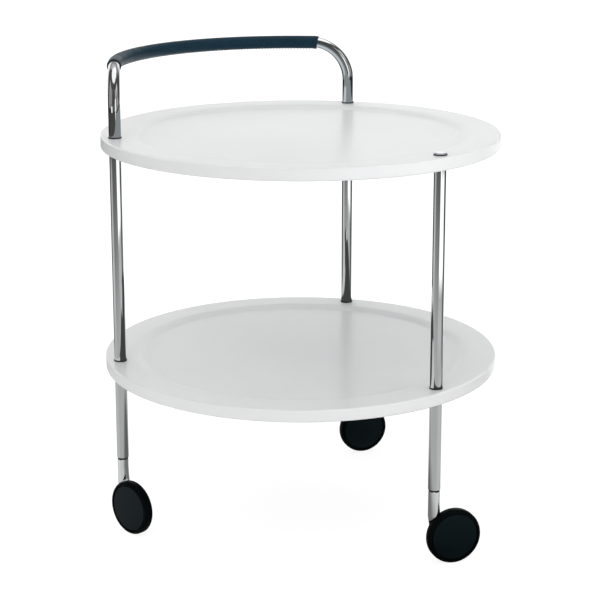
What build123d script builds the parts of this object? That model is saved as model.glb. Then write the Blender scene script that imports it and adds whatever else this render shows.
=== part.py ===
from build123d import *
import math
import os

os.makedirs("parts", exist_ok=True)

# Round two-tier serving trolley. Millimetres, +Z up.
# Origin: on the floor, straight under the axis of the two round trays.
# The single front leg stands at -Y, the handle runs round the +Y side.

# ---------------------------------------------------------------- trays
TRAY_D = 500.0            # outside diameter of both trays
TRAY_T = 15.5             # thickness at the rim
RECESS_R = 210.5          # radius where the rim turns down into the recess
RECESS_FLOOR_R = 202.0    # radius where the wall meets the recess floor
RECESS_DEPTH = 4.5
COVE_R = 4.0              # hollow rounding at the foot of the recess wall
LIP_R = 24.0              # soft rounding at the top of the recess wall
EDGE_R = 1.8              # rounding of the outer tray edges
UPPER_TOP = 507.5         # rim height of the upper tray above the floor
LOWER_TOP = 223.5         # rim height of the lower tray above the floor

# ---------------------------------------------------------------- legs
LEG_CIRCLE_R = 234.0
LEG_ANGLE = {"front": -90.0, "right": 30.0, "left": 150.0}
TUBE_D = 15.0
TUBE_WALL = 1.5
WASHER_D = 16.4
WASHER_T = 1.5
STUD_D = 8.0
TRAY_HOLE_D = 8.4
INSERT_L = 20.0
STUD_GRIP = 18.0          # thread length inside each insert
CAP_T = 1.6               # front leg cap above its washer

# ---------------------------------------------------------------- handle
HANDLE_Z = 590.4          # height of the bar's centre line
HANDLE_BEND_R = 50.6
HANDLE_MID_R = 237.2      # distance of the bar's middle from the tray axis
GRIP_D = 17.6
GRIP_INTO_BEND_DEG = 10.0

# ---------------------------------------------------------------- castors
WHEEL_D = 69.0
WHEEL_W = 13.0
TRAIL = 23.5              # swivel axis to wheel axle
WHEEL_OFFSET = 6.8        # wheel middle plane from the swivel axis, away from the arm
TYRE_IN_R = 30.2
TYRE_SHOULDER_R = 4.2
COVER_R = 28.9
GROOVE_T = 1.6            # depth of the shadow groove between face cover and tyre, below the core's front
AXLE_D = 8.0
STEM_D = 14.0
PIN_D = 8.0
RUN_GAP = 0.05            # radial running clearance of pin and axle
TUBE_END_Z = 95.3         # lower end of the leg tubes
RING_T = 2.3              # black thrust ring under the tube end
RING_D = 13.6
HEAD_GAP = 0.2            # axial play under the thrust ring
# direction in which each castor trails at rest, degrees from +X
CASTOR_ANGLE = {"front": -26.0, "left": -87.7, "right": -24.8}

TUBE_R = TUBE_D / 2
TUBE_IN_R = TUBE_R - TUBE_WALL
STUD_R = STUD_D / 2
LEGS = ("front", "left", "right")


def leg_xy(name):
    a = math.radians(LEG_ANGLE[name])
    return LEG_CIRCLE_R * math.cos(a), LEG_CIRCLE_R * math.sin(a)


def rod(r, z0, z1, x=0.0, y=0.0):
    """Upright solid cylinder from z0 to z1."""
    return Pos(x, y, z0) * Cylinder(r, z1 - z0, align=(Align.CENTER, Align.CENTER, Align.MIN))


def ring(r_out, r_in, z0, z1, x=0.0, y=0.0):
    """Upright sleeve from z0 to z1."""
    return rod(r_out, z0, z1, x, y) - rod(r_in, z0 - 1, z1 + 1, x, y)


def save(name, solids):
    """One file per named piece; a group of equal pieces stays separate solids."""
    if not isinstance(solids, (list, tuple)):
        solids = [solids]
    flat = []
    for s in solids:
        flat.extend(s.solids())
    shape = flat[0] if len(flat) == 1 else Compound(children=flat)
    shape.label = name
    export_step(shape, f"parts/{name}.step")
    print(f"{name:28s} solids {len(flat)} volume {sum(s.volume for s in flat):.1f}")


# ------------------------------------------------------------------ trays
def tray(top):
    """Round board with a shallow coved recess and three stud holes in the rim."""
    r = TRAY_D / 2
    pts = [
        (0, 0, -RECESS_DEPTH),
        (RECESS_FLOOR_R, 0, -RECESS_DEPTH),
        (RECESS_R, 0, 0),
        (r, 0, 0),
        (r, 0, -TRAY_T),
        (0, 0, -TRAY_T),
    ]
    face = Plane.XZ * make_face(Polyline([(p[0], p[2]) for p in pts], close=True))
    body = revolve(face, axis=Axis.Z)

    def circles(radius, z):
        return [e for e in body.edges()
                if e.geom_type == GeomType.CIRCLE
                and abs(e.radius - radius) < 1e-4
                and abs(e.center().Z - z) < 1e-4]

    body = fillet(circles(r, 0) + circles(r, -TRAY_T), EDGE_R)
    body = fillet(circles(RECESS_R, 0), LIP_R)
    body = fillet(circles(RECESS_FLOOR_R, -RECESS_DEPTH), COVE_R)
    for name in LEGS:
        x, y = leg_xy(name)
        body -= rod(TRAY_HOLE_D / 2, -TRAY_T - 1, 1, x, y)
    return Pos(0, 0, top) * body


save("upper_tray", tray(UPPER_TOP))
save("lower_tray", tray(LOWER_TOP))

UPPER_BOT = UPPER_TOP - TRAY_T
LOWER_BOT = LOWER_TOP - TRAY_T

# ------------------------------------------------------------------ leg tubes
for name in LEGS:
    x, y = leg_xy(name)
    save(f"leg_tube_upper_{name}",
         ring(TUBE_R, TUBE_IN_R, LOWER_TOP + WASHER_T, UPPER_BOT - WASHER_T, x, y))
    save(f"leg_tube_lower_{name}",
         ring(TUBE_R, TUBE_IN_R, TUBE_END_Z, LOWER_BOT - WASHER_T, x, y))


def washers(z0):
    out = []
    for name in LEGS:
        x, y = leg_xy(name)
        w = ring(WASHER_D / 2, TRAY_HOLE_D / 2, z0, z0 + WASHER_T, x, y)
        out.append(w)
    return out


save("upper_tray_top_washers", washers(UPPER_TOP))
save("upper_tray_under_washers", washers(UPPER_BOT - WASHER_T))
save("lower_tray_top_washers", washers(LOWER_TOP))
save("lower_tray_under_washers", washers(LOWER_BOT - WASHER_T))


def inserts(z0, z1, names):
    out = []
    for name in names:
        x, y = leg_xy(name)
        out.append(ring(TUBE_IN_R, STUD_R, z0, z1, x, y))
    return out


HANDLE_LEGS = ("left", "right")
z_lt = LOWER_BOT - WASHER_T          # top end of the lower tubes
z_ub = LOWER_TOP + WASHER_T          # bottom end of the upper tubes
z_ut = UPPER_BOT - WASHER_T          # top end of the upper tubes
z_hf = UPPER_TOP + WASHER_T          # foot of the handle tube
save("lower_tube_top_inserts", inserts(z_lt - INSERT_L, z_lt, LEGS))
save("upper_tube_bottom_inserts", inserts(z_ub, z_ub + INSERT_L, LEGS))
save("upper_tube_top_inserts", inserts(z_ut - INSERT_L, z_ut, LEGS))
save("handle_foot_inserts", inserts(z_hf, z_hf + INSERT_L, HANDLE_LEGS))


def studs(z0, z1, names):
    out = []
    for name in names:
        x, y = leg_xy(name)
        s = rod(STUD_R, z0, z1, x, y)
        ends = [e for e in s.edges() if e.geom_type == GeomType.CIRCLE]
        out.append(chamfer(ends, 0.8))
    return out


save("lower_tray_studs", studs(z_lt - STUD_GRIP, z_ub + STUD_GRIP, LEGS))
save("upper_tray_studs", studs(z_ut - STUD_GRIP, z_hf + STUD_GRIP, HANDLE_LEGS))

# front leg cap: low chrome button turned in one piece with its threaded stem
fx, fy = leg_xy("front")
cap = rod(TUBE_R, z_hf, z_hf + CAP_T, fx, fy)
top_edge = [e for e in cap.edges()
            if e.geom_type == GeomType.CIRCLE and abs(e.center().Z - (z_hf + CAP_T)) < 1e-6]
cap = fillet(top_edge, 0.7)
cap_stem = rod(STUD_R, z_ut - STUD_GRIP, z_hf, fx, fy)
save("front_leg_cap", cap + cap_stem)

# ------------------------------------------------------------------ handle
# The bar is one tube: upright, quarter bend, level arc, quarter bend, upright.
# The level arc is tangent to both bend planes and bulges to HANDLE_MID_R at +Y.
half = math.radians((LEG_ANGLE["left"] - LEG_ANGLE["right"]) / 2)
lx, ly = LEG_CIRCLE_R * math.sin(half), LEG_CIRCLE_R * math.cos(half)


def mid_for(theta):
    rho = (lx - HANDLE_BEND_R * math.cos(theta)) / math.sin(theta)
    cy = ly - rho * math.cos(theta) + HANDLE_BEND_R * math.sin(theta)
    return rho, cy


lo_t, hi_t = math.radians(25.0), math.radians(75.0)
for _ in range(80):
    th = (lo_t + hi_t) / 2
    rho, cy = mid_for(th)
    if rho + cy > HANDLE_MID_R:
        hi_t = th
    else:
        lo_t = th
THETA = (lo_t + hi_t) / 2
ARC_R, ARC_CY = mid_for(THETA)
print(f"handle arc radius {ARC_R:.3f} centre y {ARC_CY:.3f} half angle {math.degrees(THETA):.3f}")


def bar(r, foot_z, bend_deg=90.0, uprights=True):
    """Solid round bar along the handle line; bend_deg < 90 leaves out the uprights."""
    parts = []
    # level arc, symmetric about the Y-Z plane
    start = math.pi / 2 - THETA
    sec = Plane(origin=(ARC_R * math.cos(start), ARC_CY + ARC_R * math.sin(start), HANDLE_Z),
                x_dir=(math.cos(start), math.sin(start), 0),
                z_dir=(-math.sin(start), math.cos(start), 0))
    parts.append(revolve(sec * Circle(r), axis=Axis((0, ARC_CY, 0), (0, 0, 1)),
                         revolution_arc=math.degrees(2 * THETA)))
    for side in (1, -1):
        # end of the level arc and its outward tangent
        ex, ey = side * ARC_R * math.sin(THETA), ARC_CY + ARC_R * math.cos(THETA)
        tx, ty = side * math.cos(THETA), -math.sin(THETA)
        sec = Plane(origin=(ex, ey, HANDLE_Z), x_dir=(0, 0, 1), z_dir=(tx, ty, 0))
        # axis of the bend lies below the arc end, square to the bend plane
        ax = Axis((ex, ey, HANDLE_Z - HANDLE_BEND_R), (-ty, tx, 0))
        parts.append(revolve(sec * Circle(r), axis=ax, revolution_arc=bend_deg))
        if uprights:
            x, y = leg_xy("right" if side > 0 else "left")
            parts.append(rod(r, foot_z, HANDLE_Z - HANDLE_BEND_R, x, y))
    out = parts[0]
    for p in parts[1:]:
        out = out + p
    return out


handle = bar(TUBE_R, z_hf) - bar(TUBE_IN_R, z_hf)
save("handle_tube", handle)
grip = (bar(GRIP_D / 2, z_hf, GRIP_INTO_BEND_DEG, False)
        - bar(TUBE_R, z_hf, 60.0, False))
save("handle_grip", grip)

# ------------------------------------------------------------------ castors
# Castor frame: swivel axis on Z, +X is the trailing direction, the arm runs
# down on the +Y side of the wheel, the closed wheel face looks to -Y.
R_W = WHEEL_D / 2
Y_FACE = -WHEEL_OFFSET - WHEEL_W / 2       # outer side of the tyre
Y_BACK = -WHEEL_OFFSET + WHEEL_W / 2       # arm side of the tyre
ARM_IN = Y_BACK + 0.6                      # inner face of the arm
ARM_OUT = ARM_IN + 6.3                     # outer face of the arm
HEAD_TOP = TUBE_END_Z - RING_T - HEAD_GAP
PIN_LOW = HEAD_TOP - 18.0
PIN_TOP = TUBE_END_Z + 26.0
SOCKET_TOP = TUBE_END_Z + 30.0
CLIP_Z0 = TUBE_END_Z + 15.0
CLIP_T = 1.4
BORE_R = PIN_D / 2 + RUN_GAP


def lying(r, y0, y1, x=TRAIL, z=R_W):
    """Cylinder along Y between y0 and y1, centred on the wheel axle."""
    c = Cylinder(r, y1 - y0, align=(Align.CENTER, Align.CENTER, Align.MIN))
    return Pos(x, y0, z) * Rot(-90, 0, 0) * c


def turned(points):
    """Solid turned about the wheel axle from (radius, y) points."""
    prof = make_face(Polyline(points, close=True))
    body = revolve(Plane.XY * prof, axis=Axis.Y)
    return Pos(TRAIL, 0, R_W) * body


def castor_arm():
    # round stem that swells into a flat arm beside the wheel
    s0 = Plane(origin=(0, 0, HEAD_TOP - 4.0)) * Circle(STEM_D / 2)
    s1 = Plane(origin=(0.05, 0.05, 75.5)) * Ellipse(7.05, 7.05)
    s2 = Plane(origin=(0.9, 0.1, 60.5)) * Ellipse(8.0, 7.2)
    stem = rod(STEM_D / 2, HEAD_TOP - 4.0, HEAD_TOP)
    stem = chamfer([e for e in stem.edges()
                    if e.geom_type == GeomType.CIRCLE and abs(e.center().Z - HEAD_TOP) < 1e-6], 0.5)
    swell = loft([s0, s1, s2])
    lower = loft([s2, Plane(origin=(4.4, 0.1, 45.0)) * Ellipse(9.2, 7.2)])
    body = stem + swell + lower
    # room for the wheel in front of the arm
    body -= lying(R_W + 1.4, -40, ARM_IN)
    body -= Pos(0, ARM_IN, 0) * Box(200, 80, 2 * 49.0, align=(Align.CENTER, Align.MAX, Align.CENTER))
    # flat arm plate from the stem to the axle boss
    outline = make_hull(
        [Pos(4.6, 54.0) * Circle(6.0).edge(),
         Pos(TRAIL, R_W) * Circle(10.0).edge()])
    plate = extrude(Plane(origin=(0, ARM_OUT, 0), x_dir=(1, 0, 0), z_dir=(0, -1, 0)) * outline,
                    ARM_OUT - ARM_IN)
    rim = [e for e in plate.edges() if abs(e.center().Y - ARM_OUT) < 1e-4]
    plate = fillet(rim, 1.4)
    body = body + plate
    # sockets for the swivel pin and the axle thread
    body -= rod(PIN_D / 2, PIN_LOW, HEAD_TOP + 1)
    body -= lying(3.0, ARM_IN - 1, ARM_OUT + 1)
    return body


def castor_pin():
    p = rod(PIN_D / 2, PIN_LOW, PIN_TOP)
    p = chamfer([e for e in p.edges() if e.geom_type == GeomType.CIRCLE], 0.7)
    p -= ring(PIN_D, 3.2, CLIP_Z0 - 0.1, CLIP_Z0 + CLIP_T + 0.1)
    return p


def castor_clip():
    c = ring(4.75, 3.2, CLIP_Z0, CLIP_Z0 + CLIP_T)
    return c - Pos(0, -4, CLIP_Z0) * Box(2.4, 4, 6)


def socket():
    s = ring(TUBE_IN_R, BORE_R, TUBE_END_Z, SOCKET_TOP)
    s -= ring(5.05, 1.0, CLIP_Z0 - 0.4, CLIP_Z0 + CLIP_T + 0.4)
    return s


HEAD_Y = Y_FACE + 4.8         # under side of the axle screw's head
BUSH_FRONT = HEAD_Y + 0.2


def axle_screw():
    shank = lying(AXLE_D / 2, HEAD_Y, ARM_IN)
    thread = lying(3.0, ARM_IN, ARM_OUT - 0.3)
    head = lying(6.5, HEAD_Y - 2.2, HEAD_Y)
    key = Pos(TRAIL, HEAD_Y - 2.2, R_W) * Rot(-90, 0, 0) * extrude(RegularPolygon(2.3, 6), 1.4)
    return head + shank + thread - key


def bush():
    b = lying(6.0, BUSH_FRONT, Y_BACK + 0.3)
    flange = lying(8.0, Y_BACK, Y_BACK + 0.3)
    return b + flange - lying(AXLE_D / 2 + RUN_GAP, -20, 20)


CORE_FRONT = Y_FACE + 1.5


def core():
    c = lying(TYRE_IN_R, CORE_FRONT, Y_BACK)
    c -= lying(8.0, CORE_FRONT - 1, BUSH_FRONT)
    c -= lying(6.0, BUSH_FRONT - 1, Y_BACK + 1)
    # shallow dish on the arm side, with a hub ring left standing
    dish = lying(24.0, Y_BACK - 2.5, Y_BACK + 1) - lying(10.0, Y_BACK - 3.5, Y_BACK + 2)
    # narrow groove round the face cover
    groove = lying(TYRE_IN_R + 1, CORE_FRONT - 1, CORE_FRONT + GROOVE_T) - lying(COVER_R, CORE_FRONT - 2, CORE_FRONT + GROOVE_T + 1)
    return c - dish - groove


def cover():
    # slightly domed face plate with a spigot that snaps into the core
    sag = 0.7
    y_edge = Y_FACE + 0.45
    y_mid = y_edge - sag
    dome_r = (COVER_R ** 2 + sag ** 2) / (2 * sag)
    ball = Pos(TRAIL, y_mid + dome_r, R_W) * Sphere(dome_r)
    dome = lying(COVER_R, y_mid - 1.0, CORE_FRONT) & ball
    dome = fillet([e for e in dome.edges()
                   if e.geom_type == GeomType.CIRCLE and e.center().Y < CORE_FRONT - 0.1], 0.4)
    spigot = lying(8.0, CORE_FRONT, CORE_FRONT + 0.8)
    return dome + spigot


def tyre():
    t = lying(R_W, Y_FACE, Y_BACK)
    t = fillet([e for e in t.edges()
                if e.geom_type == GeomType.CIRCLE], TYRE_SHOULDER_R)
    return t - lying(TYRE_IN_R, -30, 30)


def place(shape, name):
    x, y = leg_xy(name)
    return Pos(x, y, 0) * Rot(0, 0, CASTOR_ANGLE[name]) * shape


arm_s, pin_s, clip_s, axle_s = castor_arm(), castor_pin(), castor_clip(), axle_screw()
bush_s, core_s, cover_s, tyre_s = bush(), core(), cover(), tyre()
save("castor_sockets", [Pos(*leg_xy(n), 0) * socket() for n in LEGS])
save("castor_thrust_rings",
     [ring(RING_D / 2, PIN_D / 2 + 0.3, TUBE_END_Z - RING_T, TUBE_END_Z, *leg_xy(n)) for n in LEGS])
for n in LEGS:
    save(f"castor_{n}_arm", place(arm_s, n))
    save(f"castor_{n}_swivel_pin", place(pin_s, n))
    save(f"castor_{n}_clip_ring", place(clip_s, n))
    save(f"castor_{n}_axle_screw", place(axle_s, n))
    save(f"castor_{n}_bush", place(bush_s, n))
    save(f"castor_{n}_wheel_core", place(core_s, n))
    save(f"castor_{n}_face_cover", place(cover_s, n))
    save(f"castor_{n}_tyre", place(tyre_s, n))
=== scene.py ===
import math

import bmesh
import bpy
from mathutils import Matrix, Vector, noise


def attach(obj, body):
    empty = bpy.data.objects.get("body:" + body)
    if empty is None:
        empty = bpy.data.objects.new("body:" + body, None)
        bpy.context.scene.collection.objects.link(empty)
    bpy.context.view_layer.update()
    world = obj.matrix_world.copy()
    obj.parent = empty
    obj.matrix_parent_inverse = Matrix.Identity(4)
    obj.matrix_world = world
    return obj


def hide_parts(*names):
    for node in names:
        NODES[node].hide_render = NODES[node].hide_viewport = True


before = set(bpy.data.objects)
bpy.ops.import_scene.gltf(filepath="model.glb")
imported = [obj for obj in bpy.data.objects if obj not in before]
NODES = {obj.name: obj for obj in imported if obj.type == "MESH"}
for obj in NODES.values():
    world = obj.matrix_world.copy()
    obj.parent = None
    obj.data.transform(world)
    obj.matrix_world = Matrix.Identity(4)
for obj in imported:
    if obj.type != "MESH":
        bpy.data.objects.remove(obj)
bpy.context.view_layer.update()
scene = bpy.context.scene
scene.view_settings.view_transform = "Standard"
scene.view_settings.look = "None"

# light that the pale surfaces receive: patches of sky in the view's own directions
# (azimuth from, to, softness, elevation from, to, softness, strength), a base level and the floor's bounce
SKY = [
    (None, None, 0, 60, 120, 8, 0.95),
    (45, 135, 8, 0, 15, 3, 2.65),
    (135, 190, 8, 0, 15, 3, 1.40),
    (-190, -45, 8, 0, 15, 3, 1.51),
    (None, None, 0, 32, 60, 8, 0.72),
    (-190, -135, 8, 32, 60, 8, 1.62),
    (90, 135, 8, 32, 60, 8, 0.82),
    (-45, 0, 8, 32, 60, 8, 1.39),
]
SKY_BASE = 0.0
# the same for the floor, with the distance in metres in place of the elevation
FLOOR = [
    (-190, -90, 8, 0.30, 1.0, 0.1, 1.05),
    (135, 190, 8, 0.30, 1.0, 0.1, 0.80),
    (90, 163, 8, 1.0, 3.0, 0.3, 2.15),
    (None, None, 0, 3.0, 60, 0.3, 2.08),
    (-80, 80, 20, 0.45, 3.0, 0.3, 0.60),
]
FLOOR_BASE = 0.0

# ------------------------------------------------------------------ camera
# View from the front left, a little above the upper tray. The image is 600 px square.
F_PX, CX, CY = 1749.025, 300.666, 250.0
CAM_DIST, CAM_H = 2.167034, 0.878773
PITCH, ROLL = math.radians(13.6370), math.radians(-0.0011)
PHI = math.radians(43.8930)          # turn of the view about the tray axis

ahead = Vector((math.sin(PHI), math.cos(PHI), 0))
aside = Vector((math.cos(PHI), -math.sin(PHI), 0))
look = ahead * math.cos(PITCH) + Vector((0, 0, -math.sin(PITCH)))
above = ahead * math.sin(PITCH) + Vector((0, 0, math.cos(PITCH)))
cam_x = aside * math.cos(ROLL) + above * math.sin(ROLL)
cam_y = above * math.cos(ROLL) - aside * math.sin(ROLL)
cam_data = bpy.data.cameras.new("camera")
cam_data.sensor_width = 36.0
cam_data.lens = F_PX / 600 * 36.0
cam_data.shift_x = (300 - CX) / 600
cam_data.shift_y = (CY - 300) / 600
cam_data.clip_start, cam_data.clip_end = 0.05, 100
cam = bpy.data.objects.new("camera", cam_data)
m = Matrix.Identity(4)
for i in range(3):
    m[i][0], m[i][1], m[i][2] = cam_x[i], cam_y[i], -look[i]
pos = -ahead * CAM_DIST + Vector((0, 0, CAM_H))
m[0][3], m[1][3], m[2][3] = pos
cam.matrix_world = m
scene.collection.objects.link(cam)
scene.camera = cam


# ------------------------------------------------------------------ node helpers
def material(name):
    mat = bpy.data.materials.new(name)
    mat.use_nodes = True
    nt = mat.node_tree
    nt.nodes.clear()
    out = nt.nodes.new("ShaderNodeOutputMaterial")
    return mat, nt, out


def node(nt, kind, **values):
    n = nt.nodes.new(kind)
    for key, v in values.items():
        if key.startswith("p_"):
            setattr(n, key[2:], v)
        else:
            n.inputs[key.replace("_", " ")].default_value = v
    return n


def link(nt, a, b):
    nt.links.new(a, b)


def coords(nt, scale=(1, 1, 1), rotation=(0, 0, 0)):
    tc = nt.nodes.new("ShaderNodeTexCoord")
    mp = nt.nodes.new("ShaderNodeMapping")
    mp.inputs["Scale"].default_value = scale
    mp.inputs["Rotation"].default_value = rotation
    link(nt, tc.outputs["Object"], mp.inputs["Vector"])
    return mp.outputs["Vector"]


def tex_noise(nt, vec, scale, detail=2.0, rough=0.5, distortion=0.0):
    n = nt.nodes.new("ShaderNodeTexNoise")
    n.inputs["Scale"].default_value = scale
    n.inputs["Detail"].default_value = detail
    n.inputs["Roughness"].default_value = rough
    n.inputs["Distortion"].default_value = distortion
    link(nt, vec, n.inputs["Vector"])
    return n.outputs["Fac"]


def ramp(nt, fac, stops):
    r = nt.nodes.new("ShaderNodeValToRGB")
    el = r.color_ramp.elements
    while len(el) > 1:
        el.remove(el[-1])
    el[0].position = stops[0][0]
    el[0].color = (*stops[0][1], 1)
    for p, c in stops[1:]:
        e = el.new(p)
        e.color = (*c, 1)
    link(nt, fac, r.inputs["Fac"])
    return r.outputs["Color"]


def span(nt, fac, lo, hi, a=0.0, b=1.0):
    """Maps a texture value from a..b to lo..hi."""
    r = nt.nodes.new("ShaderNodeMapRange")
    r.inputs["From Min"].default_value = a
    r.inputs["From Max"].default_value = b
    r.inputs["To Min"].default_value = lo
    r.inputs["To Max"].default_value = hi
    link(nt, fac, r.inputs["Value"])
    return r.outputs["Result"]


def maths(nt, op, a, b=None):
    n = nt.nodes.new("ShaderNodeMath")
    n.operation = op
    for i, v in enumerate((a, b)):
        if v is None:
            continue
        if isinstance(v, (int, float)):
            n.inputs[i].default_value = v
        else:
            link(nt, v, n.inputs[i])
    return n.outputs["Value"]


def bump(nt, height, strength, distance, under=None):
    b = nt.nodes.new("ShaderNodeBump")
    b.inputs["Strength"].default_value = strength
    b.inputs["Distance"].default_value = distance
    link(nt, height, b.inputs["Height"])
    if under is not None:
        link(nt, under, b.inputs["Normal"])
    return b.outputs["Normal"]


def principled(nt, out):
    p = nt.nodes.new("ShaderNodeBsdfPrincipled")
    link(nt, p.outputs["BSDF"], out.inputs["Surface"])
    return p


# ------------------------------------------------------------------ materials
def make_lacquer():
    """White sprayed lacquer on board: faint orange peel, slight tone drift, a soft gloss."""
    mat, nt, out = material("white_lacquer_finish")
    p = principled(nt, out)
    v = coords(nt)
    drift = tex_noise(nt, v, 7.0, 3.0, 0.55)
    link(nt, ramp(nt, drift, [(0.3, (0.795, 0.805, 0.81)), (0.7, (0.83, 0.835, 0.835))]), p.inputs["Base Color"])
    rub = tex_noise(nt, v, 26.0, 4.0, 0.6)
    link(nt, span(nt, rub, 0.50, 0.60, 0.3, 0.7), p.inputs["Roughness"])
    peel = tex_noise(nt, v, 420.0, 2.0, 0.5)
    fine = tex_noise(nt, v, 2600.0, 1.0, 0.5)
    n1 = bump(nt, peel, 0.05, 0.0006)
    n2 = bump(nt, fine, 0.04, 0.0002, n1)
    link(nt, n2, p.inputs["Normal"])
    p.inputs["Coat Weight"].default_value = 0.6
    p.inputs["Coat Roughness"].default_value = 0.24
    return mat


def make_chrome(name, tone, rough):
    """Polished chrome: faint polishing haze and hairlines along the tube."""
    mat, nt, out = material(name)
    p = principled(nt, out)
    p.inputs["Metallic"].default_value = 1.0
    v = coords(nt)
    haze = tex_noise(nt, v, 38.0, 4.0, 0.6)
    link(nt, ramp(nt, haze, [(0.3, tuple(t * 0.965 for t in tone)), (0.7, tone)]), p.inputs["Base Color"])
    lines = tex_noise(nt, coords(nt, (1.0, 1.0, 0.02)), 2400.0, 2.0, 0.5)
    both = maths(nt, "MULTIPLY", haze, lines)
    link(nt, span(nt, both, rough * 0.6, rough * 1.6, 0.1, 0.45), p.inputs["Roughness"])
    link(nt, bump(nt, lines, 0.012, 0.0001), p.inputs["Normal"])
    return mat


def make_leather():
    """Dark blue-black leather sleeve: pebbled grain, darker pores, a soft rubbed sheen."""
    mat, nt, out = material("black_leather_finish")
    p = principled(nt, out)
    v = coords(nt)
    vor = nt.nodes.new("ShaderNodeTexVoronoi")
    vor.feature = "DISTANCE_TO_EDGE"
    vor.inputs["Scale"].default_value = 900.0
    warp = tex_noise(nt, v, 500.0, 2.0, 0.5)
    add = nt.nodes.new("ShaderNodeVectorMath")
    add.operation = "MULTIPLY_ADD"
    comb = nt.nodes.new("ShaderNodeCombineXYZ")
    for i in range(3):
        link(nt, warp, comb.inputs[i])
    link(nt, comb.outputs[0], add.inputs[0])
    add.inputs[1].default_value = (0.0007, 0.0007, 0.0007)
    link(nt, v, add.inputs[2])
    link(nt, add.outputs[0], vor.inputs["Vector"])
    cells = span(nt, vor.outputs["Distance"], 0.0, 1.0, 0.0, 0.22)
    drift = tex_noise(nt, v, 60.0, 3.0, 0.6)
    mixv = maths(nt, "MULTIPLY", cells, span(nt, drift, 0.75, 1.0, 0.3, 0.7))
    tone = ramp(nt, mixv, [(0.0, (0.004, 0.013, 0.021)), (0.5, (0.0080, 0.029, 0.050)), (1.0, (0.0112, 0.041, 0.070))])
    link(nt, tone, p.inputs["Base Color"])
    link(nt, span(nt, drift, 0.38, 0.50, 0.3, 0.7), p.inputs["Roughness"])
    grain = bump(nt, cells, 0.35, 0.00012)
    fine = tex_noise(nt, v, 4200.0, 2.0, 0.6)
    relief = bump(nt, fine, 0.12, 0.00005, grain)
    link(nt, relief, p.inputs["Normal"])
    p.inputs["Specular IOR Level"].default_value = 0.14
    p.inputs["Specular Tint"].default_value = (0.62, 0.94, 1.0, 1)
    return mat


def make_thread():
    mat, nt, out = material("sewing_thread_finish")
    p = principled(nt, out)
    v = coords(nt)
    wave = nt.nodes.new("ShaderNodeTexWave")
    wave.inputs["Scale"].default_value = 900.0
    wave.inputs["Distortion"].default_value = 1.5
    link(nt, v, wave.inputs["Vector"])
    link(nt, ramp(nt, wave.outputs["Fac"], [(0.0, (0.010, 0.013, 0.018)), (1.0, (0.035, 0.043, 0.052))]), p.inputs["Base Color"])
    p.inputs["Roughness"].default_value = 0.6
    link(nt, bump(nt, wave.outputs["Fac"], 0.4, 0.0001), p.inputs["Normal"])
    return mat


def make_plain(name, dark, light, rough, grain_scale, grain_strength, metallic=0.0, drift_scale=40.0, grain_depth=0.00008, spec=0.5, tint=(1, 1, 1)):
    """Moulded or turned surface: tone drift, roughness drift and a fine grain."""
    mat, nt, out = material(name)
    p = principled(nt, out)
    v = coords(nt)
    drift = tex_noise(nt, v, drift_scale, 3.0, 0.6)
    link(nt, ramp(nt, drift, [(0.3, dark), (0.7, light)]), p.inputs["Base Color"])
    link(nt, span(nt, drift, rough[0], rough[1], 0.3, 0.7), p.inputs["Roughness"])
    grain = tex_noise(nt, v, grain_scale, 2.0, 0.55)
    link(nt, bump(nt, grain, grain_strength, grain_depth), p.inputs["Normal"])
    p.inputs["Metallic"].default_value = metallic
    p.inputs["Specular IOR Level"].default_value = spec
    p.inputs["Specular Tint"].default_value = (*tint, 1)
    return mat


LACQUER = make_lacquer()
CHROME = make_chrome("chrome_tube_finish", (0.66, 0.67, 0.675), 0.045)
CHROME_CAST = make_chrome("chrome_castor_finish", (0.92, 0.93, 0.935), 0.12)
LEATHER = make_leather()
# near-black for the sleeve's cut ends: painted shade of the end face and lip
LEATHER_EDGE_SHADE = make_plain("leather_edge_painted_shade", (0.003, 0.003, 0.0035), (0.006, 0.006, 0.007), (0.5, 0.65), 2400.0, 0.2)
THREAD = make_thread()
WASHER = make_plain("black_washer_finish", (0.006, 0.006, 0.007), (0.011, 0.011, 0.012), (0.45, 0.6), 2200.0, 0.15)
ZINC = make_plain("zinc_steel_finish", (0.46, 0.46, 0.45), (0.56, 0.56, 0.55), (0.28, 0.42), 1500.0, 0.06, 1.0)
SOCKET = make_plain("socket_plastic_finish", (0.012, 0.012, 0.013), (0.02, 0.02, 0.021), (0.45, 0.55), 1800.0, 0.12)
BRONZE = make_plain("bronze_bush_finish", (0.42, 0.27, 0.12), (0.52, 0.35, 0.17), (0.35, 0.5), 1800.0, 0.1, 1.0)
WHEEL = make_plain("wheel_plastic_finish", (0.0009, 0.0031, 0.0044), (0.0018, 0.0048, 0.0064), (0.34, 0.42), 1900.0, 0.10, spec=0.15, tint=(0.62, 0.92, 1.0))
TYRE = make_plain("wheel_tyre_finish", (0.0008, 0.0013, 0.0017), (0.0016, 0.0023, 0.0028), (0.42, 0.54), 1300.0, 0.16, spec=0.055, tint=(0.8, 0.95, 1.0))

SLOT_FINISH = {
    "white_lacquer": LACQUER, "chrome_tube": CHROME, "chrome_castor": CHROME_CAST, "black_leather": LEATHER,
    "black_washer": WASHER, "zinc_steel": ZINC, "socket_plastic": SOCKET, "bronze_bush": BRONZE,
    "wheel_plastic": WHEEL, "wheel_tyre": TYRE,
}
for name, o in NODES.items():
    slots = [m_.name for m_ in o.data.materials if m_]
    key = slots[0].split(".")[0] if slots else ""
    for i in range(len(o.material_slots)):
        o.material_slots[i].material = SLOT_FINISH[key]

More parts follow.
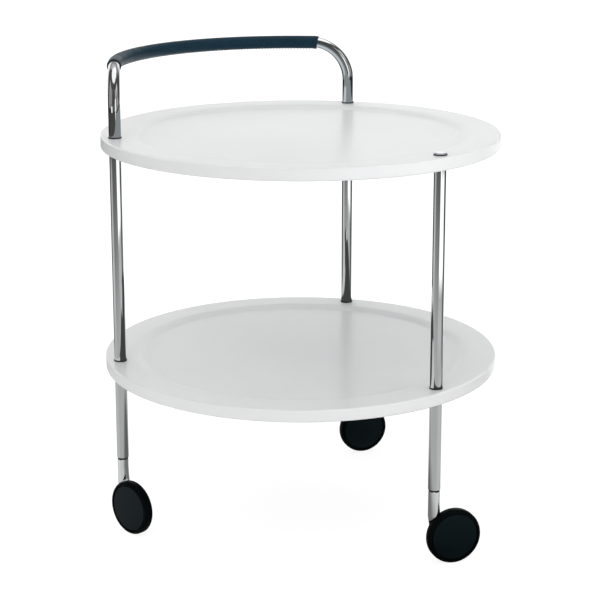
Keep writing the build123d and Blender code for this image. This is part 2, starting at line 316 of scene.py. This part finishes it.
# ------------------------------------------------------------------ leather sleeve
# Follows the bar: a level arc, running a little way down both bends. Lengths in metres.
ARC_R, ARC_CY, ARC_HALF = 0.220277, 0.016923, math.radians(50.781)
BAR_Z, BEND_R, INTO_BEND = 0.5904, 0.0506, math.radians(10.0)
ARC_S = ARC_R * ARC_HALF
END_S = ARC_S + BEND_R * INTO_BEND
SLEEVE_R, BORE_R = 0.00862, 0.00753
HEM_W, HEM_UP, HEM_STITCH = 0.0056, 0.00026, 0.0038
SEAM = math.radians(-84.0)           # underneath, where the hand does not see it


def add_mesh(name, verts, faces, mats):
    me = bpy.data.meshes.new(name)
    me.from_pydata(verts, [], faces)
    me.update()
    o = bpy.data.objects.new(name, me)
    scene.collection.objects.link(o)
    for m_ in mats:
        me.materials.append(m_)
    return o


def bar_frame(s):
    """Centre, outward and upward directions of the bar at the length s from its middle."""
    if abs(s) <= ARC_S:
        a = s / ARC_R
        return (Vector((ARC_R * math.sin(a), ARC_CY + ARC_R * math.cos(a), BAR_Z)),
                Vector((math.sin(a), math.cos(a), 0)), Vector((0, 0, 1)))
    side = 1 if s > 0 else -1
    b = (abs(s) - ARC_S) / BEND_R
    end = Vector((side * ARC_R * math.sin(ARC_HALF), ARC_CY + ARC_R * math.cos(ARC_HALF), BAR_Z))
    t = Vector((side * math.cos(ARC_HALF), -math.sin(ARC_HALF), 0))
    return (end + BEND_R * (math.sin(b) * t + Vector((0, 0, math.cos(b) - 1))),
            Vector((side * math.sin(ARC_HALF), math.cos(ARC_HALF), 0)),
            Vector((0, 0, math.cos(b))) + math.sin(b) * t)


def on_bar(s, psi, r):
    c, out_d, up_d = bar_frame(s)
    return c + r * (-math.cos(psi) * out_d + math.sin(psi) * up_d)


def ease(x):
    x = min(1.0, max(0.0, x))
    return x * x * (3 - 2 * x)


def seam_at(s):
    return SEAM + 0.02 * noise.noise((s * 38.0, 3.1, 7.7))


def sleeve_r(s, psi, grain=True):
    """Outer radius: rolled hems with a sewn groove, a butted seam with raised lips, pebbled grain."""
    e = END_S - abs(s)
    hem = 1 - ease((e - HEM_W) / 0.0007)
    r = SLEEVE_R + HEM_UP * hem
    r -= 0.00020 * math.exp(-((e - HEM_STITCH) / 0.00042) ** 2)
    d = (psi - seam_at(s) + math.pi) % (2 * math.pi) - math.pi
    arc = d * SLEEVE_R
    r += 0.00017 * math.exp(-((abs(arc) - 0.00125) / 0.0007) ** 2) * (1 - 0.6 * hem)
    r -= 0.00042 * math.exp(-(arc / 0.00034) ** 2)
    if grain:
        p = on_bar(s, psi, SLEEVE_R)
        r += 0.00006 * noise.noise(p * 95.0) + 0.000035 * noise.noise(p * 310.0)
        dist = noise.voronoi(p / 0.0017)[0]
        r += 0.000055 * (ease((dist[1] - dist[0]) / 0.38) - 0.6) * ease(e / 0.0012)
        # creases across the inside of the curve
        fold = noise.noise((s * 150.0, 11.3, 0.4)) * max(0.0, math.cos(psi + 0.5)) ** 2
        r -= 0.00007 * max(0.0, fold)
    if e < 0.0011:
        r -= 0.0011 - math.sqrt(max(0.0, 0.0011 ** 2 - (0.0011 - e) ** 2))
    return r


def make_sleeve():
    na, n_in = 112, 120
    # rings lie closer together in the hems
    ends = [0.0, 0.00008, 0.00022, 0.00042, 0.0007, 0.0011]
    e = 0.0011
    while e < HEM_W + 0.0015:
        e += 0.00034
        ends.append(e)
    left = [-END_S + x for x in ends]
    span_s = 2 * (END_S - ends[-1])
    n_mid = 690
    mid = [-END_S + ends[-1] + span_s * k / n_mid for k in range(1, n_mid)]
    along = left + mid + [-x for x in reversed(left)]
    verts, faces = [], []
    for s in along:
        for i in range(na):
            psi = 2 * math.pi * i / na
            verts.append(on_bar(s, psi, sleeve_r(s, psi)))
    ns = len(along)
    for k in range(n_in + 1):
        s = -END_S + 2 * END_S * k / n_in
        for i in range(na):
            verts.append(on_bar(s, 2 * math.pi * i / na, BORE_R))
    base = ns * na
    edge_faces = set()
    for k in range(ns - 1):
        for i in range(na):
            j = (i + 1) % na
            if k < 2 or k >= ns - 3:
                edge_faces.add(len(faces))
            faces.append((k * na + i, (k + 1) * na + i, (k + 1) * na + j, k * na + j))
    for k in range(n_in):
        for i in range(na):
            j = (i + 1) % na
            faces.append((base + k * na + i, base + k * na + j, base + (k + 1) * na + j, base + (k + 1) * na + i))
    for i in range(na):
        j = (i + 1) % na
        edge_faces.add(len(faces))
        faces.append((i, j, base + j, base + i))
        edge_faces.add(len(faces))
        last, blast = (ns - 1) * na, base + n_in * na
        faces.append((last + j, last + i, blast + i, blast + j))
    o = add_mesh("leather_sleeve", verts, faces, [LEATHER, LEATHER_EDGE_SHADE])
    for idx, p in enumerate(o.data.polygons):
        p.use_smooth = True
        # the cut ends and their lips get the painted shade
        if idx in edge_faces:
            p.material_index = 1
    bm = bmesh.new()
    bm.from_mesh(o.data)
    bmesh.ops.recalc_face_normals(bm, faces=bm.faces)
    bm.to_mesh(o.data)
    bm.free()
    return o


def make_stitches():
    verts, faces = [], []

    def stitch(path, rad, n=8):
        """One short length of thread through the given points, both ends sunk in the leather."""
        first = len(verts)
        m_ = len(path)
        for k in range(m_):
            a, b = path[max(0, k - 1)], path[min(m_ - 1, k + 1)]
            t = (b - a).normalized()
            u = t.orthogonal().normalized()
            w = t.cross(u)
            rr = rad * (0.55 if k in (0, m_ - 1) else 1.0)
            for i in range(n):
                q = 2 * math.pi * i / n
                verts.append(path[k] + rr * (math.cos(q) * u + math.sin(q) * w))
        # keep the rings from twisting against each other
        for k in range(1, m_):
            prev = verts[first + (k - 1) * n:first + k * n]
            cur = verts[first + k * n:first + (k + 1) * n]
            best = min(range(n), key=lambda sh: sum((cur[(i + sh) % n] - prev[i]).length_squared for i in range(n)))
            verts[first + k * n:first + (k + 1) * n] = [cur[(i + best) % n] for i in range(n)]
        for k in range(m_ - 1):
            for i in range(n):
                j = (i + 1) % n
                faces.append((first + k * n + i, first + k * n + j, first + (k + 1) * n + j, first + (k + 1) * n + i))
        faces.append(tuple(first + i for i in reversed(range(n))))
        faces.append(tuple(first + (m_ - 1) * n + i for i in range(n)))

    # running stitches round both hems
    count = 19
    for side in (-1, 1):
        s = side * (END_S - HEM_STITCH)
        for k in range(count):
            mid = 2 * math.pi * (k + 0.5) / count
            path = []
            for h in range(9):
                f = h / 8 * 2 - 1
                psi = mid + f * 0.118
                path.append(on_bar(s, psi, sleeve_r(s, psi, False) + 0.00016 - 0.00042 * abs(f) ** 3))
            stitch(path, 0.00025)
    # slanting stitches across the butted seam
    pitch = 0.0041
    n_st = int((2 * (END_S - HEM_W - 0.002)) / pitch)
    for k in range(n_st):
        s0 = (k - (n_st - 1) / 2) * pitch
        path = []
        for h in range(9):
            f = h / 8 * 2 - 1
            s = s0 + f * 0.00075
            d = f * 0.0015
            psi = seam_at(s) + d / SLEEVE_R
            path.append(on_bar(s, psi, SLEEVE_R + 0.00026 - 0.00042 * abs(f) ** 4))
        stitch(path, 0.00023)
    o = add_mesh("leather_stitching", verts, faces, [THREAD])
    for p in o.data.polygons:
        p.use_smooth = True
    return o


sleeve = make_sleeve()
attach(sleeve, "frame")
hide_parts("handle_grip")
stitching = make_stitches()
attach(stitching, "frame")

# ------------------------------------------------------------------ stage
def add_object(name, verts, faces, mat=None):
    me = bpy.data.meshes.new(name)
    me.from_pydata([tuple(v) for v in verts], [], faces)
    me.update()
    o = bpy.data.objects.new(name, me)
    scene.collection.objects.link(o)
    if mat:
        me.materials.append(mat)
    return o


def only(o, camera=False, diffuse=False, glossy=False, shadow=False):
    o.visible_camera = camera
    o.visible_diffuse = diffuse
    o.visible_glossy = glossy
    o.visible_transmission = False
    o.visible_volume_scatter = False
    o.visible_shadow = shadow


def disc(name, r, z, mat, seg=128):
    verts = [(0, 0, z)] + [(r * math.cos(2 * math.pi * i / seg), r * math.sin(2 * math.pi * i / seg), z) for i in range(seg)]
    faces = [(0, 1 + i, 1 + (i + 1) % seg) for i in range(seg)]
    return add_object(name, verts, faces, mat)


RIG = Matrix.Rotation(-PHI, 4, "Z")      # x to the right of the view, y away from it


def floor_material():
    mat, nt, out = material("studio_floor")
    d = node(nt, "ShaderNodeBsdfDiffuse")
    d.inputs["Color"].default_value = (0.30, 0.30, 0.30, 1)
    e = node(nt, "ShaderNodeEmission")
    e.inputs["Color"].default_value = (1, 1, 1, 1)
    e.inputs["Strength"].default_value = 0.88
    a = nt.nodes.new("ShaderNodeAddShader")
    link(nt, d.outputs[0], a.inputs[0])
    link(nt, e.outputs[0], a.inputs[1])
    link(nt, a.outputs[0], out.inputs["Surface"])
    return mat


floor = disc("studio_floor", 40.0, 0.0, floor_material())
only(floor, camera=True, shadow=True)


def glow(name, strength):
    mat, nt, out = material(name)
    e = nt.nodes.new("ShaderNodeEmission")
    e.inputs["Color"].default_value = (1, 1, 1, 1)
    e.inputs["Strength"].default_value = strength
    link(nt, e.outputs[0], out.inputs["Surface"])
    return mat


def backdrop():
    r, nu, nv = 39.0, 64, 16
    verts, faces = [], []
    for j in range(nv + 1):
        el = -0.02 + (math.pi / 2 + 0.02) * j / nv
        for i in range(nu):
            a = 2 * math.pi * i / nu
            verts.append((r * math.cos(el) * math.cos(a), r * math.cos(el) * math.sin(a), r * math.sin(el)))
    for j in range(nv):
        for i in range(nu):
            k = (i + 1) % nu
            faces.append((j * nu + i, j * nu + k, (j + 1) * nu + k, (j + 1) * nu + i))
    return add_object("studio_backdrop", verts, faces, glow("studio_backdrop", 1.15))


back = backdrop()
only(back, camera=True)

def step(nt, x, at, soft):
    """Smooth step from 0 to 1 round the value at."""
    r = nt.nodes.new("ShaderNodeMapRange")
    r.interpolation_type = "SMOOTHSTEP"
    r.inputs["From Min"].default_value = at - soft / 2
    r.inputs["From Max"].default_value = at + soft / 2
    link(nt, x, r.inputs["Value"])
    return r.outputs["Result"]


def window(nt, x, lo, hi, soft):
    return maths(nt, "MULTIPLY", step(nt, x, lo, soft), maths(nt, "SUBTRACT", 1.0, step(nt, x, hi, soft)))


def polar(nt, vec):
    """Azimuth in degrees (0 away from the view, + to its right), elevation in degrees, ground distance."""
    s = nt.nodes.new("ShaderNodeSeparateXYZ")
    link(nt, vec, s.inputs[0])
    x, y, z = s.outputs[0], s.outputs[1], s.outputs[2]
    az = maths(nt, "MULTIPLY", maths(nt, "ARCTAN2", x, y), 180 / math.pi)
    flat = maths(nt, "SQRT", maths(nt, "ADD", maths(nt, "MULTIPLY", x, x), maths(nt, "MULTIPLY", y, y)))
    el = maths(nt, "MULTIPLY", maths(nt, "ARCTAN2", z, flat), 180 / math.pi)
    return az, el, flat


def moved(nt, vec, x, y):
    """The same vector, counted from the point x, y of the plan."""
    n = nt.nodes.new("ShaderNodeVectorMath")
    n.operation = "SUBTRACT"
    n.inputs[1].default_value = (x, y, 0)
    link(nt, vec, n.inputs[0])
    return n.outputs[0]


def patches(nt, az, other, rows, base):
    """Sums soft-edged patches: (az from, to, softness, other from, to, softness, value)."""
    total = base
    for a0, a1, sa, b0, b1, sb, v in rows:
        w = window(nt, other, b0, b1, sb)
        if a0 is not None:
            w = maths(nt, "MULTIPLY", w, window(nt, az, a0, a1, sa))
        total = maths(nt, "ADD", total, maths(nt, "MULTIPLY", w, v))
    return total


# The studio that the polished parts mirror, glowing and seen only by mirrored rays: a floor that falls off into the
# dark with a lit sweep behind and a light to the right, with a painted shadow under the trolley, and a dark room with
# its soft boxes.
MIRROR_FLOOR = [
    (-20, 52, 10, 0.60, 20.0, 0.20, 1.10),
    (101, 166, 12, 1.58, 2.75, 0.25, 1.50),
    (110, 168, 14, 1.10, 1.58, 0.30, 0.22),
    (148, 160, 5, 2.70, 12.0, 0.30, 1.30),
    (-152, -131, 6, 4.60, 12.0, 0.40, 1.30),
    (-113, -74, 12, 1.25, 2.80, 0.40, 0.40),
    (-115, -70, 20, 0.40, 1.25, 0.20, 0.10),
    (85, 140, 25, 0.40, 1.00, 0.20, 0.12),
]
MIRROR_ROOM = [
    (None, None, 0, 65, 120, 8, 1.35),
    (12, 88, 14, 56, 67, 6, 1.05),
    (-48, 33, 14, -30, 31, 7, 1.10),
    (-50, 56, 14, 31, 47, 6, 0.26),
    (-50, 56, 14, 47, 65, 6, 0.55),
    (-113, -88, 10, -30, 44, 8, 0.42),
    (92, 152, 12, 25, 46, 6, 0.45),
    (94, 113, 6, 34, 47, 5, 0.42),
    (85, 134, 10, -30, 25, 6, 0.17),
    (137, 156, 6, -30, 25, 5, 1.40),
    (-152, -131, 6, -30, 7, 4, 1.40),
    (-146, -120, 8, 9, 44, 5, 0.30),
    (94, 112, 6, 5, 18, 5, 0.36),
    (155, 190, 10, -30, 14, 8, 0.14),
    (-190, -168, 8, -30, 14, 8, 0.03),
]


def emission_of(nt, out, value):
    e = nt.nodes.new("ShaderNodeEmission")
    if isinstance(value, float):
        e.inputs["Strength"].default_value = value
    else:
        link(nt, value, e.inputs["Strength"])
    link(nt, e.outputs[0], out.inputs["Surface"])


def mirror_floor_material():
    mat, nt, out = material("mirror_floor")
    tc = nt.nodes.new("ShaderNodeTexCoord")
    az, el, far = polar(nt, tc.outputs["Object"])
    fall = ramp(nt, span(nt, far, 0, 1, 0.0, 5.0), [
        (0.0, (0.57,) * 3), (0.18, (0.57,) * 3), (0.22, (0.52,) * 3), (0.25, (0.46,) * 3), (0.33, (0.32,) * 3),
        (0.45, (0.19,) * 3), (0.62, (0.085,) * 3), (1.0, (0.04,) * 3)])
    bw = nt.nodes.new("ShaderNodeRGBToBW")
    link(nt, fall, bw.inputs[0])
    # painted shadow: the dim patch under the trolley on the mirrored floor; also darker gaps on both sides of the lit
    # sweep
    under = step(nt, polar(nt, moved(nt, tc.outputs["Object"], 0.06, -0.08))[2], 0.26, 0.22)
    floor_glow_with_painted_shadow = maths(nt, "MULTIPLY", bw.outputs[0], span(nt, under, 0.30, 1.0))
    gaps = patches(nt, az, far, [(-72, -20, 8, 0.9, 30.0, 0.3, 0.75), (52, 100, 8, 0.9, 30.0, 0.3, 0.65)], 0.0)
    keep = maths(nt, "MULTIPLY", floor_glow_with_painted_shadow, maths(nt, "SUBTRACT", 1.0, gaps))
    emission_of(nt, out, patches(nt, az, far, MIRROR_FLOOR, keep))
    return mat


mfloor = disc("mirror_floor", 12.0, -0.0004, mirror_floor_material())
mfloor.matrix_world = RIG
only(mfloor, glossy=True)


def room_material():
    mat, nt, out = material("mirror_room")
    tc = nt.nodes.new("ShaderNodeTexCoord")
    az, el, far = polar(nt, tc.outputs["Object"])
    emission_of(nt, out, patches(nt, az, el, MIRROR_ROOM, 0.085))
    return mat


def room():
    r, nu, nv = 14.0, 96, 32
    verts, faces = [], []
    for j in range(nv + 1):
        el = -math.pi / 12 + (math.pi / 2 + math.pi / 12) * j / nv
        for i in range(nu):
            a = 2 * math.pi * i / nu
            verts.append((r * math.cos(el) * math.cos(a), r * math.cos(el) * math.sin(a), r * math.sin(el)))
    for j in range(nv):
        for i in range(nu):
            k = (i + 1) % nu
            faces.append((j * nu + i, j * nu + k, (j + 1) * nu + k, (j + 1) * nu + i))
    return add_object("mirror_room", verts, faces, room_material())


dome = room()
dome.matrix_world = RIG
only(dome, glossy=True)


FRONT_LEG, LEFT_LEG, BACK_LEG = (0.1622, -0.1686), (-0.2272, -0.0562), (0.0649, 0.2248)      # in the view's own plan


def beside(nt, vec, leg, a0, a1, reach):
    """Soft wedge of the plan that starts at a leg."""
    az, el, far = polar(nt, moved(nt, vec, *leg))
    return maths(nt, "MULTIPLY", window(nt, az, a0, a1, 10), maths(nt, "SUBTRACT", 1.0, step(nt, far, reach, 0.03)))


def lower_tray_painted_shade(nt, vec):
    """Painted shade for the mirrored lower tray: dark where the upper tray shades it, with painted light towards the
    back left and beside the front leg.
    """
    sep = nt.nodes.new("ShaderNodeSeparateXYZ")
    link(nt, vec, sep.inputs[0])
    x, y = sep.outputs[0], sep.outputs[1]
    # painted light in the lit wedges; everywhere else the disc stays dark as painted shade
    lean = maths(nt, "ADD", x, maths(nt, "MULTIPLY", y, -0.38))
    corner = maths(nt, "MULTIPLY", maths(nt, "SUBTRACT", 1.0, step(nt, lean, -0.062, 0.03)), step(nt, y, -0.085, 0.03))
    corner = maths(nt, "MULTIPLY", corner, maths(nt, "SUBTRACT", 1.0, beside(nt, vec, LEFT_LEG, 55, 190, 0.21)))
    light = maths(nt, "MAXIMUM", corner, beside(nt, vec, FRONT_LEG, -140, -88, 0.21))
    return span(nt, light, 0.075, 0.80)


def upper_tray_painted_shade(nt, vec):
    """Painted shade for the mirrored upper tray: dim overall, with painted light in front of the back upright and a
    painted highlight round the cap of the front leg.
    """
    # painted highlight round the front leg's cap, so that the cap's side mirrors a light tray
    cap = maths(nt, "SUBTRACT", 1.0, step(nt, polar(nt, moved(nt, vec, *FRONT_LEG))[2], 0.045, 0.02))
    return span(nt, maths(nt, "MAXIMUM", cap, beside(nt, vec, BACK_LEG, -145, -95, 0.16)), 0.36, 0.80)


def shade(name, z, tone, tint):
    """Painted reflection of a tray for the upright tubes: a glowing disc just above the tray, seen only by mirrored
    rays, carrying painted shade and light; only its upper side is seen.
    """
    mat, nt, out = material(name)
    tc = nt.nodes.new("ShaderNodeTexCoord")
    g = nt.nodes.new("ShaderNodeNewGeometry")
    e = nt.nodes.new("ShaderNodeEmission")
    e.inputs["Color"].default_value = (*tint, 1)
    link(nt, tone(nt, tc.outputs["Object"]), e.inputs["Strength"])
    t = nt.nodes.new("ShaderNodeBsdfTransparent")
    mx = nt.nodes.new("ShaderNodeMixShader")
    link(nt, g.outputs["Backfacing"], mx.inputs[0])
    link(nt, e.outputs[0], mx.inputs[1])
    link(nt, t.outputs[0], mx.inputs[2])
    link(nt, mx.outputs[0], out.inputs["Surface"])
    o = disc(name, 0.249, z, mat)
    o.matrix_world = RIG
    only(o, glossy=True)


# glowing discs with painted shade and light, standing for the trays' shaded tops in the chrome
shade("mirror_shade_lower", 0.2243, lower_tray_painted_shade, (0.97, 0.99, 1.0))
shade("mirror_shade_upper", 0.5083, upper_tray_painted_shade, (0.90, 0.98, 1.02))

# what the floor throws back up at the trolley
bounce_mat = bpy.data.materials.new("floor_bounce")
bounce_mat.use_nodes = True
bounce = disc("floor_bounce", 40.0, -0.0002, bounce_mat)
bounce.matrix_world = RIG
only(bounce, diffuse=True)


def build_bounce(rows, base):
    nt = bounce_mat.node_tree
    nt.nodes.clear()
    out = nt.nodes.new("ShaderNodeOutputMaterial")
    tc = nt.nodes.new("ShaderNodeTexCoord")
    az, el, far = polar(nt, tc.outputs["Object"])
    emission_of(nt, out, patches(nt, az, far, rows, base))


build_bounce(FLOOR, FLOOR_BASE)

# even light from all round, weighted to where the studio lamps stand
world = bpy.data.worlds.new("studio_world")
scene.world = world
world.use_nodes = True


def build_sky(rows, base):
    nt = world.node_tree
    nt.nodes.clear()
    out = nt.nodes.new("ShaderNodeOutputWorld")
    tc = nt.nodes.new("ShaderNodeTexCoord")
    mp = nt.nodes.new("ShaderNodeMapping")
    mp.inputs["Rotation"].default_value = (0, 0, PHI)
    link(nt, tc.outputs["Generated"], mp.inputs["Vector"])
    az, el, far = polar(nt, mp.outputs["Vector"])
    bg = nt.nodes.new("ShaderNodeBackground")
    bg.inputs["Color"].default_value = (1, 1, 1, 1)
    link(nt, patches(nt, az, el, rows, base), bg.inputs["Strength"])
    link(nt, bg.outputs[0], out.inputs["Surface"])


build_sky(SKY, SKY_BASE)
